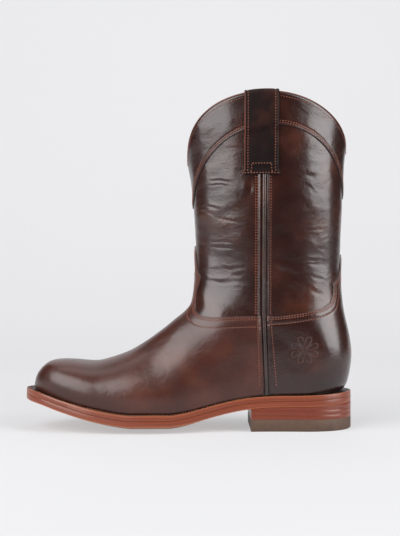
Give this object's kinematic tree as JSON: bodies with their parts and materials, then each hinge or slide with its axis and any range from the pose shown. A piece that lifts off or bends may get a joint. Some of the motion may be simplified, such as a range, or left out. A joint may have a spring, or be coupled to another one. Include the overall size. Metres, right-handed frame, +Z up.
{
  "type": "roper boot",
  "caption": "Pull-on leather roper boot for the left foot, with a rounded toe, a low stacked heel, a scalloped collar and pull straps.",
  "frame": {"origin": "centre of the footprint box, on the floor that the boot stands on", "axes": "the toe points to -X, the heel to +X, the lateral (outer) side to -Y, +Z is up"},
  "size_m": [0.3047, 0.1047, 0.3108],
  "materials": {
    "upper_leather": "glossy smooth calf, dark reddish brown",
    "vamp_leather": "glossy soft calf, reddish brown",
    "strap_leather": "satin, nearly black",
    "binding_leather": "satin, mid brown",
    "lining_leather": "matte, tan",
    "sole_leather": "burnished edge, orange tan",
    "stack_leather": "burnished stack, reddish brown",
    "heel_rubber": "matte, olive brown"
  },
  "bodies": {
    "root": {"upper": "upper_leather", "vamp": "vamp_leather", "counter": "upper_leather", "collar_band": "upper_leather", "collar_binding": "binding_leather", "side_piping_lateral": "strap_leather", "side_piping_medial": "strap_leather", "pull_strap_lateral": "strap_leather", "pull_strap_medial": "strap_leather", "insole": "lining_leather", "welt": "sole_leather", "outsole": "sole_leather", "heel_lift_1": "stack_leather", "heel_lift_2": "stack_leather", "heel_lift_3": "stack_leather", "heel_cap": "heel_rubber"}
  },
  "joints": []
}
